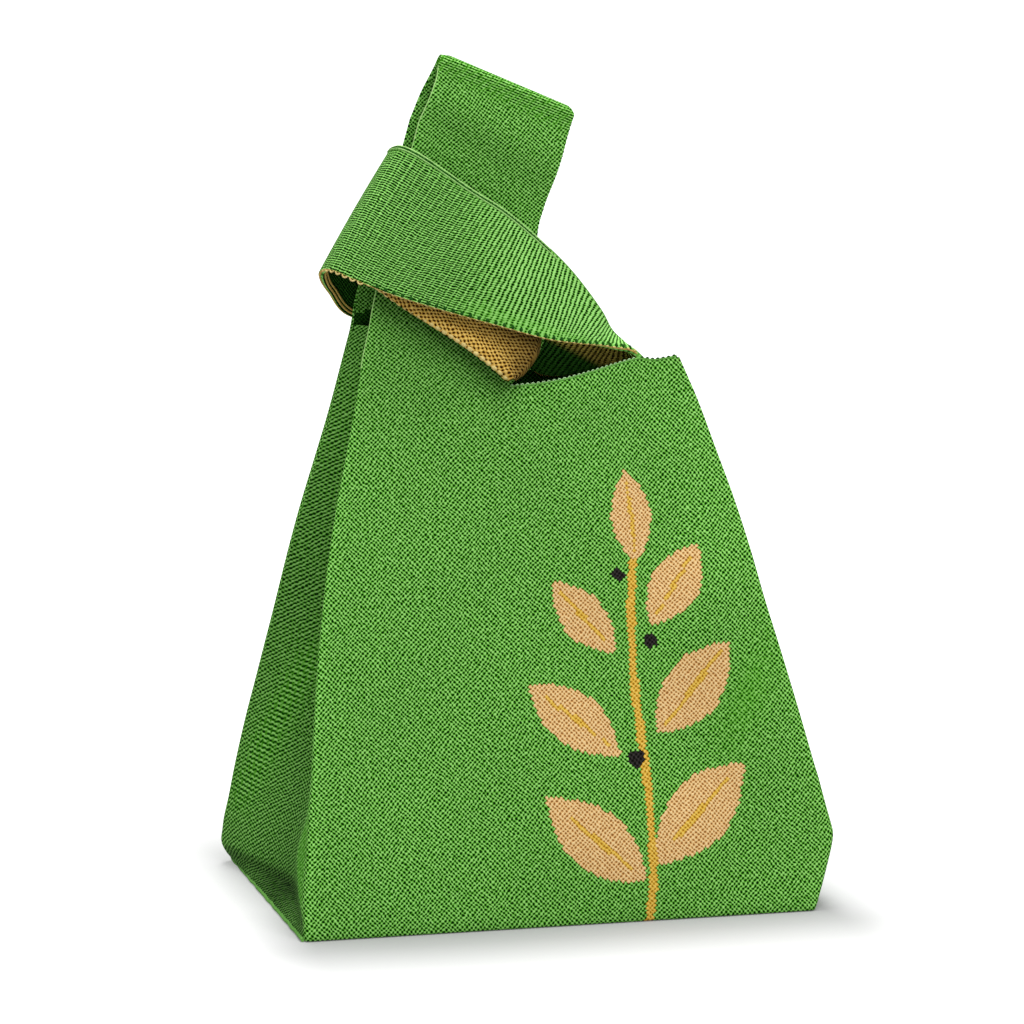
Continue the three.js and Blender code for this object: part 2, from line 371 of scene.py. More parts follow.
# A new material or world, with its empty tree
def startNodes(blocks, name):
    block = blocks.new(name)
    block.use_nodes = True
    block.node_tree.nodes.clear()
    return block, block.node_tree


# A number worked out in a shader, for plain arithmetic
class Number:
    def __init__(self, socket):
        self.socket = socket

    def __add__(self, other):
        return calc("ADD", self, other)

    def __sub__(self, other):
        return calc("SUBTRACT", self, other)

    def __rsub__(self, other):
        return calc("SUBTRACT", other, self)

    def __mul__(self, other):
        return calc("MULTIPLY", self, other)

    def __truediv__(self, other):
        return calc("DIVIDE", self, other)


# A new node with its inputs by index or name, in the tree of the first socket that it reads
def addNode(kind, inputs, tree=None, **settings):
    inputs = {key: value.socket if isinstance(value, Number) else value for key, value in inputs.items()}
    linked = {key: value for key, value in inputs.items() if isinstance(value, bpy.types.NodeSocket)}
    tree = tree or next(iter(linked.values())).id_data
    node = tree.nodes.new("ShaderNode" + kind)
    for setting, value in settings.items():
        setattr(node, setting, value)
    for key, value in inputs.items():
        if key in linked:
            tree.links.new(value, node.inputs[key])
        elif value is not None:
            node.inputs[key].default_value = value
    return node


def calc(operation, *values, clamp=False):
    return Number(addNode("Math", dict(enumerate(values)), operation=operation, use_clamp=clamp).outputs[0])


def vector(operation, first, second=None, scale=None):
    outputs = addNode("VectorMath", {0: first, 1: second, "Scale": scale}, operation=operation).outputs
    return Number(outputs["Value"]) if operation in ("DOT_PRODUCT", "LENGTH", "DISTANCE") else outputs["Vector"]


def blendNumber(share, first, second):
    return share * (second - first) + first


def blendColour(kind, factor, first, second):
    inputs = {"Factor": factor, 6: first, 7: second}
    return addNode("Mix", inputs, data_type="RGBA", blend_type=kind).outputs[2]


# Noise as a number and as a colour
def noise(where, scale, detail=2.0):
    outputs = addNode("TexNoise", {"Vector": where, "Scale": scale, "Detail": detail}).outputs
    return Number(outputs[0]), outputs["Color"]


# A rough cloth or yarn surface with relief from a height
def linkSurface(colour, height, strength, relief, specular):
    bump = addNode("Bump", {"Strength": strength, "Distance": relief, "Height": height})
    shader = addNode("BsdfPrincipled", {
        "Base Color": colour, "Normal": bump.outputs[0], "Roughness": 0.9, "Specular IOR Level": specular,
    })
    addNode("OutputMaterial", {0: shader.outputs[0]})


# One of the cloth's tones, in the tree that spot belongs to
def attribute(spot, name):
    return Number(addNode("Attribute", {}, spot.id_data, attribute_name=name).outputs["Fac"])


def separated(place):
    outputs = addNode("SeparateXYZ", {0: place}).outputs
    return Number(outputs[0]), Number(outputs[1])


def wave(value, length):
    return calc("COSINE", value * (2 * math.pi / length))


# painted light and shade: each yarn's own colour runs from painted shade in the holes between the stitches to
# painted light on the stitches' crowns
yarnsWithPaintedLight = {  # colours from the holes between the stitches to the stitches' crowns
    "green": [(0.000, 0.010, 0.000), (0.003, 0.080, 0.000), (0.080, 0.355, 0.013), (0.390, 0.830, 0.220)],
    # painted shade: a darker copy of the green yarn, and below a darker copy of the gold, for the inside of the
    # mouth and the band's inner face
    "green in painted shade": [(0.000, 0.008, 0.000), (0.001, 0.022, 0.000), (0.008, 0.060, 0.003), (0.040, 0.160, 0.020)],
    "peach": [(0.330, 0.130, 0.030), (0.600, 0.290, 0.085), (0.860, 0.520, 0.200), (1.000, 0.740, 0.380)],
    "amber": [(0.400, 0.170, 0.010), (0.620, 0.330, 0.020), (0.800, 0.470, 0.050), (0.950, 0.660, 0.150)],
    "gold": [(0.030, 0.010, 0.001), (0.130, 0.055, 0.005), (0.560, 0.310, 0.045), (0.900, 0.620, 0.170)],
    "gold in painted shade": [(0.016, 0.010, 0.001), (0.060, 0.040, 0.003), (0.220, 0.160, 0.018), (0.560, 0.460, 0.100)],
    "berry": [(0.004, 0.004, 0.003), (0.008, 0.007, 0.007), (0.016, 0.013, 0.012), (0.045, 0.040, 0.038)],
}


def yarnRamp(height, yarn):
    node = addNode("ValToRGB", {"Fac": height})
    ramp = node.color_ramp
    while len(ramp.elements) < 4:
        ramp.elements.new(0.5)
    for element, spot, colour in zip(ramp.elements, yarnStops, yarnsWithPaintedLight[yarn]):
        element.position = spot
        element.color = (*colour, 1)
    return node.outputs["Color"]


# Where the four colours of a yarn lie between the painted shade of a hole and the painted light of a crown
yarnStops = (0.06, 0.28, 0.48, 0.90)
grain = {"fading": 16, "jitter": 420, "stitch": 620, "strand": 900, "fuzz": 2600}  # noise scales, per metre

birdsEye = {
    "across": 0.00186,  # from one stitch to the next in its row, in metres
    "up": 0.00193,
    "drift": 45,  # how often the rows of stitches wander
    "waver": 0.0024,  # and how far
    "jitter": 0.0012,  # how far single stitches lie out of line
    "patches": 130,  # how often the slant changes that shows most
    "slantFrom": 0.1,
    "courseLength": 0.00125,  # from one row of stitches to the next, where rows show
    "courseTilt": 0.465,  # as on the tab's top
    "crowns": 0.66,  # how far crowns rise, holes sink, and all of it lies above the middle
    "holes": 0.19,
    "lift": 0.18,
    "relief": 0.00034,
}


# The knit's own place on the cloth, wandering a little
def wandering(spot, drift, waver):
    centred = vector("SUBTRACT", noise(spot, drift, 1.0)[1], (0.5, 0.5, 0.5))
    return vector("ADD", spot, vector("SCALE", centred, scale=waver))


# Whole rows wander, and single stitches lie out of line
def loosened(spot, stitch):
    rows = wandering(spot, stitch["drift"], stitch["waver"])
    return separated(wandering(rows, grain["jitter"], stitch["jitter"]))


# Bird's-eye knit: crowns and holes take turns in staggered rows, slanting now one way, now the other
def knitHeight(spot, stitch):
    x, y = loosened(spot, stitch)
    plainX, plainY = separated(spot)
    a, b = x / stitch["across"], y / stitch["up"]
    patch = noise(spot, stitch["patches"], 1.0)[0]
    slant = calc("MULTIPLY_ADD", patch, 0.8, stitch["slantFrom"], clamp=True)
    rising, falling = wave(a + b, 1), wave(a - b, 1)
    eyes = blendNumber(slant, rising, falling) * stitch["crowns"] + stitch["lift"]
    eyes -= (1 - rising) * (1 - falling) * stitch["holes"]
    courses = wave(plainX * stitch["courseTilt"] + plainY, stitch["courseLength"])
    height = blendNumber(attribute(spot, "courses"), eyes, courses) * (1 - attribute(spot, "calm"))
    return height * 0.5 + 0.5, a, b


# Stitches differ a little from each other
def roughened(height, spot, amount=0.6):
    return height + (noise(spot, grain["stitch"], 1.0)[0] * amount - amount / 2)


# Tone, with random fading and the painted light and shade of the shade attribute, fuzz, relief and shader, shared
# by every knitted surface
def finishYarn(colour, height, spot, relief):
    brightness = (noise(spot, grain["fading"])[0] * 0.20 + 0.90) * (attribute(spot, "shade") + 1.0)
    grey = addNode("CombineXYZ", dict.fromkeys(range(3), brightness)).outputs[0]
    fuzzy = noise(spot, grain["fuzz"])[0] * 0.22 + height
    linkSurface(blendColour("MULTIPLY", 1.0, colour, grey), fuzzy, 0.7, relief, 0.05)


# A new material, and the place on the cloth that its stitches are counted from
def startKnit(name):
    material, tree = startNodes(bpy.data.materials, name)
    return material, addNode("UVMap", {}, tree, uv_map="knit").outputs[0]


def plainKnit(name, yarn, **changes):
    stitch = {**birdsEye, **changes}
    material, spot = startKnit(name)
    height = roughened(knitHeight(spot, stitch)[0], spot)
    finishYarn(yarnRamp(height, yarn), height, spot, stitch["relief"])
    return material


sprig = {  # knitted in: each leaf as middle x, middle height, lean in degrees, half length, half width
    "leaves": [
        (17, 32, 48, 26, 12), (60, 40, -46, 27, 12.5), (12, 78, 52, 23, 10.5), (61, 88, -42, 24, 11.5),
        (18, 117, 40, 19, 9), (56, 128, -34, 19, 9.5), (40, 155, 4, 19, 8.5),
    ],
    "stem": (37, 0, 40, 138, 1.7),  # foot x, foot height, head x, head height, half width
    "berries": [(36, 62, 3.4), (45, 107, 3.0), (33, 133, 2.6)],
}
rowStretch = 1.035  # cloth length for each millimetre of height on the leaning walls


# The front's knit, with a leafy sprig worked stitch by stitch
def sprigKnit(name):
    material, spot = startKnit(name)
    height, a, b = knitHeight(spot, birdsEye)
    height = roughened(height, spot)
    rising, falling = calc("ROUND", a + b), calc("ROUND", a - b)
    x = (rising + falling) * (birdsEye["across"] / 2)
    y = (rising - falling) * (birdsEye["up"] / 2)
    here = addNode("CombineXYZ", {0: x, 1: y}).outputs[0]

    footX, footZ, headX, headZ, halfWide = sprig["stem"]
    straight = y * ((headX - footX) / (headZ - footZ)) + footX / 1000
    middle = calc("SINE", y * 42) * 0.0022 + straight
    gold = calc("LESS_THAN", calc("ABSOLUTE", x - middle), halfWide / 1000)
    gold *= calc("LESS_THAN", y, headZ * rowStretch / 1000)
    peach = gold
    for leafX, leafZ, lean, halfLong, halfWide in sprig["leaves"]:
        turn = math.radians(lean)
        long = Vector((-math.sin(turn), math.cos(turn), 0)) * 1000 / halfLong
        wide = Vector((math.cos(turn), math.sin(turn), 0)) * 1000 / halfWide
        away = vector("SUBTRACT", here, (leafX / 1000, leafZ * rowStretch / 1000, 0))
        p, q = (calc("ABSOLUTE", vector("DOT_PRODUCT", away, way)) for way in (long, wide))
        leaf = calc("LESS_THAN", p * p + q, 1.0)
        vein = calc("LESS_THAN", p * 0.12 + q, 0.11)
        peach = calc("MAXIMUM", peach, leaf)
        gold = calc("MAXIMUM", gold, vein * leaf)
    berry = 0.0
    for berryX, berryZ, size in sprig["berries"]:
        near = vector("DISTANCE", here, (berryX / 1000, berryZ * rowStretch / 1000, 0))
        berry = calc("MAXIMUM", berry, calc("LESS_THAN", near, size / 1000))

    colour = yarnRamp(height, "green")
    for mask, yarn in ((peach, "peach"), (gold, "amber"), (berry, "berry")):
        colour = blendColour("MIX", mask, colour, yarnRamp(height, yarn))
    finishYarn(colour, height, spot, birdsEye["relief"])
    return material


ribStitch = {
    "pitch": 0.00192,
    "stitch": 0.00100,
    "drift": 60,
    "waver": 0.0009,
    "jitter": 0.0011,
    "eyes": 0.62,  # of the pitch, where stitches show in place of ribs
    "holes": 0.34,
    "swell": 0.32,
    "contrast": 0.90,
    "level": 0.66,
    "relief": 0.00030,
}


# The band's knit: ribs across it and fine rows of stitches along it, which show most round its end.
# Where a second yarn is named, the attribute reverse says how much of it shows.
def ribKnit(name, yarn, reverseYarn=None):
    material, spot = startKnit(name)
    x, y = loosened(spot, ribStitch)
    ribbed = attribute(spot, "courses")
    rib = calc("POWER", wave(x, ribStitch["pitch"]) * -0.5 + 0.5, 2.0) * -2.0 + 1.0
    stitches = wave(y, ribStitch["stitch"])
    height = blendNumber(ribbed * 0.66 + 0.14, stitches, rib) * ribStitch["swell"]
    eyes = blendNumber(ribbed, wave(x, ribStitch["pitch"] * ribStitch["eyes"]), rib)
    height = (height - (1 - stitches) * (1 - eyes) * ribStitch["holes"]) * (1 - attribute(spot, "calm"))
    height = roughened(height * ribStitch["contrast"] + ribStitch["level"], spot, 0.5)
    colour = yarnRamp(height, yarn)
    if reverseYarn:
        colour = blendColour("MIX", attribute(spot, "reverse"), colour, yarnRamp(height, reverseYarn))
    finishYarn(colour, height, spot, ribStitch["relief"])
    return material


# Plain twisted yarn for edgings, on Object coordinates
def yarnFinish(name, dark, light):
    material, tree = startNodes(bpy.data.materials, name)
    strand = noise(addNode("TexCoord", {}, tree).outputs["Object"], grain["strand"])[0]
    linkSurface(blendColour("MIX", strand, (*dark, 1), (*light, 1)), strand, 0.6, 0.0003, 0.15)
    return material


def wear(obj, *materials):
    obj.data.materials.clear()
    for material in materials:
        obj.data.materials.append(material)


frontKnit = sprigKnit("front bird's-eye knit with sprig")
greenKnit = plainKnit("green bird's-eye knit", "green")
pleatKnit = plainKnit(
    "green knit of the pleats", "green", across=0.003, up=0.0018, slantFrom=-0.1, courseTilt=-0.14,
    courseLength=0.0022,
)
goldKnit = plainKnit("gold reverse knit", "gold", across=0.0015, up=0.0026, waver=0.0016, relief=0.0006)
# painted shade: the mouth's inside and the band's inner face take the darker copies of the yarns
shadedKnit = plainKnit("green knit inside the mouth, in painted shade", "green in painted shade")
bandKnit = ribKnit("green ribbed knit", "green")
shadedBandInside = ribKnit("ribbed knit inside, in painted shade", "green in painted shade", "gold in painted shade")
paleYarn = yarnFinish("pale green edging yarn", (0.22, 0.54, 0.10), (0.60, 0.90, 0.36))
whiteYarn = yarnFinish("whitish green edging yarn", (0.24, 0.50, 0.17), (0.62, 0.86, 0.50))
lineYarn = yarnFinish("light green edging yarn", (0.18, 0.48, 0.09), (0.52, 0.86, 0.30))
greenYarn = yarnFinish("dark green edging yarn", (0.002, 0.04, 0.001), (0.02, 0.13, 0.01))
creamYarn = yarnFinish("pale gold edging yarn", (0.58, 0.38, 0.08), (1.0, 0.84, 0.38))
goldYarn = yarnFinish("gold edging yarn", (0.50, 0.25, 0.03), (0.93, 0.68, 0.22))
hemYarn = yarnFinish("rolled hem of green yarn", (0.04, 0.20, 0.015), (0.26, 0.60, 0.13))
print("materials are ready")


wall = {
    "creaseColumns": 6,
    "leftColumns": 34,
    "rightColumns": 42,
    "bodyRows": 96,
    "strapRows": 50,
    "tabRows": 26,
    "foldRows": 6,
    "leftInset": 0.012,  # where the turn of the crease begins, as a share of the wall's width
    "rightInset": 0.012,
    "creaseReach": 2.4,  # cloth of the wall that goes round the crease
    "layerGap": 4.85,  # outside depth of each layer of the strap where it bends
    "topDepth": 2.4,
    "bow": 2.1,
    "inset": 1.4,  # how far the left edge of the strap's front layer lies inside the back layer's
}

bottomHeights = [0, 0.1, 0.35, 0.7, bag["bottomRound"]]
neckSides = leftSide(bag["neckHeight"]), rightSide(bag["neckHeight"])
neckShare = (-bag["neckLeft"] - neckSides[0]) / (neckSides[1] - neckSides[0])
strapStart = len(bottomHeights) - 1 + wall["bodyRows"]
tabStart = strapStart + wall["strapRows"]
foldStart = tabStart + wall["tabRows"]
wallRows = foldStart + wall["foldRows"]
wallColumns = 2 * wall["creaseColumns"] + wall["leftColumns"] + wall["rightColumns"]


def flatVector(pair):
    return Vector((pair[0], 0, pair[1]))


foldLine = (flatVector(strapBend[0]), flatVector(strapBend[1]))
topLine = (flatVector(tabTop[0]), flatVector(tabTop[1]))
topAlong = topLine[1] - topLine[0]
topOut = Vector((-topAlong.z, 0, topAlong.x)).normalized()


# Height of a row of the body: rows rise evenly to the neckline, which lies lower at the back's shoulder
def bodyHeight(row, share, way):
    low = len(bottomHeights) - 1
    if row <= low:
        return bottomHeights[row]
    shoulder = bag["shoulderHeight"] - (bag["backDrop"] if way > 0 else 0)
    top = mix(bag["neckHeight"], shoulder, ease(share, neckShare, 1))
    top -= 1.9 * ease(share, 0.86, 0.92) - 0.7 * ease(share, 0.94, 1)  # a dip beside the shoulder's tip
    return mix(bag["bottomRound"], top, (row - low) / wall["bodyRows"])


# The cloth turns under in a quarter round at the bottom
def tuckedUnder(z):
    r = bag["bottomRound"]
    return 0 if z >= r else r - math.sqrt(max(0.0, r * r - (r - z) ** 2))


def strapShare(row):
    return (row - strapStart) / wall["strapRows"]


def tabShare(row):
    return min(1.0, (row - tabStart) / wall["tabRows"])


# Outside depth of a wall at a row, from the body up through the strap to the tab's top
def wallDepth(x, z, row, share, way):
    if row <= strapStart:
        return halfDepth(x, z) + sag(x, z, way) - tuckedUnder(z)
    if row <= tabStart:
        t = strapShare(row)
        return mix(halfDepth(x, z) + sag(x, z, way) * (1 - t), wall["layerGap"], ease(t, 0.45, 0.98))
    up = tabShare(row)
    bow = wall["bow"] * math.sin(math.pi * min(1.0, up * 1.02)) ** 2 * (0.45 + 0.5 * ease(share, 0, 0.3))
    return mix(wall["layerGap"], wall["topDepth"], ease(up, 0.25, 0.95)) + bow


# x, outside depth and z of a wall: share is 0 at the left crease, 1 at the right one
def onWall(share, row, way):
    if row <= strapStart:
        z = bodyHeight(row, share, way)
        x = mix(leftSide(z), rightSide(z), share)
        if way > 0:
            x -= backSwell(z) * (1 - share) ** 4
        return x, wallDepth(x, z, row, share, way), z
    across = share / neckShare
    if row <= tabStart:
        t = strapShare(row)
        place = strapLeftEdge(t).lerp(strapRightEdge(t), across)
    else:
        up = tabShare(row)
        up *= 1 - 0.05 * ease(across, 0.955, 1.0) - 0.035 * (1 - ease(across, 0, 0.06))  # rounded corners
        place = foldLine[0].lerp(foldLine[1], across).lerp(topLine[0].lerp(topLine[1], across), up)
    if way < 0:
        top = ease(row, foldStart - 8, foldStart)
        place.x += wall["inset"] * (1 - across) ** 3 * (1 - openness(row)) * (1 - top)
    return place.x, wallDepth(place.x, place.z, row, across, way), place.z


# How wide the flat facet beside a front crease is
def facetWidth(z):
    return 15 * hump(z, 28, 15) * ease(z, 4, 14)


# A point of the pleated side wall. side is -1 for the left; across runs from -1 at the front to 1 at the back.
# Beside the creases the cloth first goes straight back, most of all low at the front, and then dives in.
def onGusset(crease, side, across):
    x, depth, z = crease
    soft = 0.12
    straight = 1.0 + (facetWidth(z) if across < 0 else 0)
    inner = max(0.0, (1 - abs(across)) * depth - straight) / (depth - straight)
    inwards = (math.hypot(1, soft) - math.hypot(1 - inner, soft)) / (math.hypot(1, soft) - soft)
    deep = bag["gussetFold"] * mix(0.42 * ease(z, 1.2, bag["ledgeHeight"]), 1, ease(z, bag["ledgeHeight"], 115))
    deep *= 1 - 0.55 * ease(z, 170, bag["gussetTop"])
    out = 0.7 * math.sin(z * 0.09 + 2.5 * across) * (1 - across * across) * ease(z, 15, 40)
    if side < 0:
        out += backSwell(z) * mix((across + 1) / 2, ease(across, 0.1, 1), ease(z, 3, 8))
    drop = bag["backDrop"] * z / bag["shoulderHeight"] * (across + 1) / 2 if side > 0 else 0
    return Vector((x + side * (out - deep * inwards - tuckedUnder(z)), across * depth, z - drop))


def pleatStart(crease):
    return min(0.3, wall["creaseReach"] / crease[1])


def creaseAt(side, row):
    x, depth, z = onWall(0.0 if side < 0 else 1.0, min(row, foldStart), -1)
    return x, depth + tuckedUnder(z), z


# 1 where the wall turns into the pleat, 0 where the strap's edge is free
def openness(row):
    if row <= strapStart:
        return 1.0
    z = strapLeftEdge(min(1, strapShare(row))).z
    return 1 - ease(z, bag["gussetTop"] - 14, bag["gussetTop"] + 6)


def innerColumn(column):
    return min(max(column, wall["creaseColumns"]), wallColumns - wall["creaseColumns"])


# A point of the front (way -1) or back (way 1), as x, depth, z
@functools.cache
def wallPoint(column, row, way):
    inner = innerColumn(column)
    step = inner - wall["creaseColumns"]
    if step <= wall["leftColumns"]:
        share = neckShare * step / wall["leftColumns"]
    else:
        share = mix(neckShare, 1, (step - wall["leftColumns"]) / wall["rightColumns"])
    opened = openness(row)
    flat = share + wall["leftInset"] * (1 - ease(share, 0, neckShare)) * opened
    if row <= strapStart:
        flat -= wall["rightInset"] * ease(share, neckShare, 1)
    point = Vector(onWall(flat, min(row, foldStart), way))
    if inner != column:
        t = abs(inner - column) / wall["creaseColumns"]
        free = point - Vector((0.3 * t, 0.5 * t * t, 0))
        side = -1 if column < inner else 1
        point = free.lerp(turnedCrease(row, way, side, t, point), opened) if opened > 0 else free
    if row > foldStart:
        angle = (row - foldStart) / wall["foldRows"] * math.pi / 2
        lift = topOut * wall["topDepth"] * math.sin(angle)
        point = Vector((point.x + lift.x, point.y * math.cos(angle), point.z + lift.z))
    return point


# Cloth that turns round a crease: t is 0 on the wall and 1 on the pleat
def turnedCrease(row, way, side, t, edge):
    crease = creaseAt(side, row)
    corner = onWall(0.0 if side < 0 else 1.0, min(row, foldStart), way)
    tip = Vector((corner[0] - side * tuckedUnder(corner[2]) * 0.7, corner[1], corner[2]))
    pleat = onGusset(crease, side, way * (1 - pleatStart(crease)))
    end = Vector((pleat.x, min(abs(pleat.y), corner[1]), pleat.z))
    return edge * (1 - t) ** 2 + tip * 2 * t * (1 - t) + end * t * t


def wallUv(column, row, way):
    inner = innerColumn(column)
    past = 0.0
    step = 1 if column > inner else -1
    for k in range(inner, column, step):
        past += step * (wallPoint(k + step, row, way) - wallPoint(k, row, way)).length
    body = wallPoint(inner, min(row, strapStart), way)
    finer = (wallPoint(inner, min(row, foldStart), way) - body) * 1.12  # the strap's stitches are a little smaller
    over = topOut * wall["topDepth"] * math.pi / 2 * max(0, row - foldStart) / wall["foldRows"]
    return body.x + finer.x + over.x + past, (body.z + finer.z) * rowStretch + over.z


lapelLine = (flatVector((-61, 249)), flatVector((-12, 210)))


# Painted light and shade: the creases get a painted highlight and the tab's top fold is painted paler; painted
# shade darkens the foot where the cloth turns under, the top of the strap and the tab, the front under the band
# beside the neck and along the edge of the turned-out lapel, and the walls grow a little darker towards the bottom
def wallShade(column, row, way):
    z = wallPoint(column, row, way).z
    tone = 0.14 * hump(column, wall["creaseColumns"] - 1, 1.5)
    if row <= strapStart:
        tone += 0.06 * hump(column, wallColumns - wall["creaseColumns"] + 1, 1.5)
    tone -= 0.14 * (1 - ease(z, 0, 7)) + 0.06 * (1 - ease(z, 20, 100)) + 0.06 * ease(row, tabStart - 10, tabStart)
    if way < 0:
        x = wallPoint(column, row, way).x
        tone -= 0.20 * hump(math.hypot((x + 50) / 34, (z - 222) / 26), 0, 1)
        along = lapelLine[1] - lapelLine[0]
        t = (flatVector((x, z)) - lapelLine[0]).dot(along) / along.length_squared
        nearest = lapelLine[0] + along * min(1, max(0, t))
        tone -= 0.42 * hump((flatVector((x, z)) - nearest).length, 0, 9)
    return tone + 0.10 * ease(row, foldStart - 3, foldStart)


# Single rows of stitches show below the tab's fold
def wallCourses(column, row, way):
    return 0.5 * ease(row, foldStart - 7, foldStart - 2)


# Stitches fade on a soft fold at the right
def wallCalm(column, row, way):
    x, depth, z = wallPoint(column, min(row, strapStart), way)
    return 0.45 * hump(x - 0.45 * z, 45, 9) * hump(z, 84, 22)


def wallThin(column, row, way):
    return 0.6 * ease(abs(column - innerColumn(column)), 0, 3)


def buildWall(name, way, material):
    def fromLeft(read):
        return lambda column, row: read(column if way < 0 else wallColumns - column, row, way)

    def place(column, row, way):
        point = wallPoint(column, row, way)
        return toFrame(point.x, way * point.y, point.z)

    def keep(column, row, way):
        return row <= strapStart or column <= wall["creaseColumns"] + wall["leftColumns"]

    obj = clothGrid(
        name, wallColumns, wallRows, fromLeft(place), fromLeft(wallUv), fromLeft(keep),
        shade=fromLeft(wallShade), courses=fromLeft(wallCourses), thin=fromLeft(wallThin), calm=fromLeft(wallCalm),
    )
    # painted shade: the back's inner face takes the darker green of the mouth
    wear(obj, material, goldKnit if way < 0 else shadedKnit)
    thicken(obj)
    for face in obj.data.polygons:
        if face.center.z > bag["gussetTop"] / 1000:  # between the layers of the strap it is green on both sides
            face.material_index = 0
    return obj


pleat = {"columns": 48, "leftTop": 0.30, "rightTop": 0.888}


def buildGusset(name, side):
    rows = strapStart + round(wall["strapRows"] * pleat["leftTop"])
    if side > 0:
        rows = round(strapStart * pleat["rightTop"])
    columns = pleat["columns"]

    # A place's crease, and how far across the pleat it lies
    @functools.cache
    def spot(column, row):
        crease = creaseAt(side, row)
        return *crease, mix(-1 + pleatStart(crease), 1 - pleatStart(crease), column / columns) * side

    def place(column, row):
        *crease, way = spot(column, row)
        point = onGusset(crease, side, way)
        limit = crease[1] - tuckedUnder(point.z)
        return toFrame(point.x, min(limit, max(-limit, point.y)), point.z)

    def uv(column, row):
        x, depth, z, way = spot(column, row)
        return way * math.hypot(depth, bag["gussetFold"]) + 300, z * rowStretch

    # Painted light and shade: the pleat is painted darker overall, darkest along its inner fold and about its
    # middle height, and paler near its top; the flat facet beside the front crease is painted paler, the fold above
    # the ledge and the ledge darker
    def shade(column, row):
        x, depth, z, way = spot(column, row)
        tone = -0.12 - 0.22 * ease(1 - abs(way), 0.3, 1.0) + 0.14 * banded(column, row)
        tone += 0.12 * ease(z, 160, 200) - 0.14 * hump(z, 125, 45)
        tone -= 0.34 * hump(z, 7, 1.9) * ease(1 - abs(way), 0.03, 0.12) + 0.42 * (1 - ease(z, 4, 9))
        return tone + 0.16 * onFacet(column, row)

    def onFacet(column, row):
        x, depth, z, way = spot(column, row)
        facet = facetWidth(z)
        return 1 - ease((1 - abs(way)) * depth, facet - 1.5, facet + 1) if side < 0 and way < 0 and facet > 2 else 0

    # A band towards the back where rows of stitches show, and where a painted highlight makes the cloth paler
    def banded(column, row):
        x, depth, z, way = spot(column, row)
        return hump(way, mix(0.8, 0.5, (z - 35) / 55), 0.17) * ease(z, 16, 34) * (1 - ease(z, 88, 112))

    obj = clothGrid(
        name, columns, rows, place, uv, shade=shade, courses=lambda c, r: 0.55 * banded(c, r),
        calm=lambda c, r: 0.6 * onFacet(c, r),
    )
    wear(obj, pleatKnit, goldKnit)
    thicken(obj)
    return obj


base = {"columns": 52, "rows": 34}


def buildBase():
    halfX = bag["baseWidth"] / 2 - bag["bottomRound"]
    halfY = bag["baseDepth"] / 2 - bag["bottomRound"]

    def place(column, row):
        across, along = column / base["columns"], row / base["rows"]
        left = leftSide(0) + bag["bottomRound"] + 0.9 - backSwell(0) * along
        lift = 0.02 + 0.25 * math.sin(math.pi * across) * math.sin(math.pi * along)
        return toFrame(mix(left, halfX, across), mix(-halfY, halfY, along), lift)

    def uv(column, row):
        return mix(-halfX, halfX, column / base["columns"]), mix(-halfY, halfY, row / base["rows"])

    obj = clothGrid("baseCloth", base["columns"], base["rows"], place, uv, turned=True)
    wear(obj, greenKnit, goldKnit)
    thicken(obj)
    return obj


hem = {"left": 104.3, "right": 104.4, "reach": 68.5, "radius": 0.78, "steps": 60}


def buildHem(name, side):
    points = []
    for i in range(hem["steps"] + 1):
        t = i / hem["steps"]
        x = (hem["left"] + backSwell(0) * t if side < 0 else hem["right"]) + 0.12 * math.sin(i * 0.9)
        points.append((side * x, mix(-hem["reach"], hem["reach"], t), 0.75 + 0.1 * math.sin(i * 1.3 + side)))
    obj = tube(name, points, hem["radius"])
    wear(obj, hemYarn)
    return obj


def picots(name, path, pitch, size, outward, material, start=0.0, end=1.0, lift=0.0, yarn=0.38):
    loops = copyAlong(name, loopPattern(size, yarn), placesAlong(path, pitch, outward, start, end, lift))
    wear(loops, material)
    return loops


frontCloth = buildWall("frontCloth", -1, frontKnit)
backCloth = buildWall("backCloth", 1, greenKnit)
leftPleat = buildGusset("leftPleat", -1)
rightPleat = buildGusset("rightPleat", 1)
baseCloth = buildBase()
leftHem = buildHem("leftHem", -1)
rightHem = buildHem("rightHem", 1)
print("body is ready")


band = {
    "upper": [
        (50.2, -0.8, 212.8), (42.6, -1.6, 220.6), (37.2, -3, 226.3), (31.5, -6, 236),
        (18.6, -10, 252.8), (4.8, -11.5, 266.8),
        (-8, -11.5, 278), (-22, -10.6, 287.4), (-36, -9.8, 297.6), (-43.6, -9.2, 302.7), (-48.3, -5.5, 304.4),
        (-50.6, 0, 302.8), (-49.6, 5.5, 300.2),
        (-45.5, 9.2, 297), (-36, 9.8, 291.5), (-22, 10.6, 283.4), (-8, 11.5, 275), (6.5, 11.5, 265.5),
        (19, 10, 251), (31.5, 6, 234.5), (38, 3, 225.6), (43.4, 1.6, 220), (50.6, 0.8, 212.4),
    ],
    "lower": [
        (53, -4.2, 211), (46.5, -4.9, 217.4), (38, -8, 219.9), (30, -11.5, 222.2), (19, -17, 224.7),
        (6, -20.8, 227.8),
        (-14, -21.5, 234.2), (-36, -20.6, 241.2), (-57, -19.5, 248.5), (-71, -16.5, 254.6), (-77.5, -10, 257),
        (-79.4, 0, 255), (-77.9, 10, 250),
        (-73.2, 15.8, 243), (-64.4, 18.5, 233), (-42, 20.5, 228), (-20, 21.6, 222), (3, 21.6, 213.5),
        (12.5, 14, 206.5), (24, 10.4, 206.5), (36, 7.6, 210), (46.5, 4.4, 212), (52, 3.4, 208),
    ],
    "ribs": 150,
    "stepsPerRib": 6,
    "rows": 24,
    "ribHeight": 0.11,
    "bulge": 1.3,  # how far it stands out between its edges
    "lean": 0.044,  # how far the ribs' lower ends lie towards the left end
}

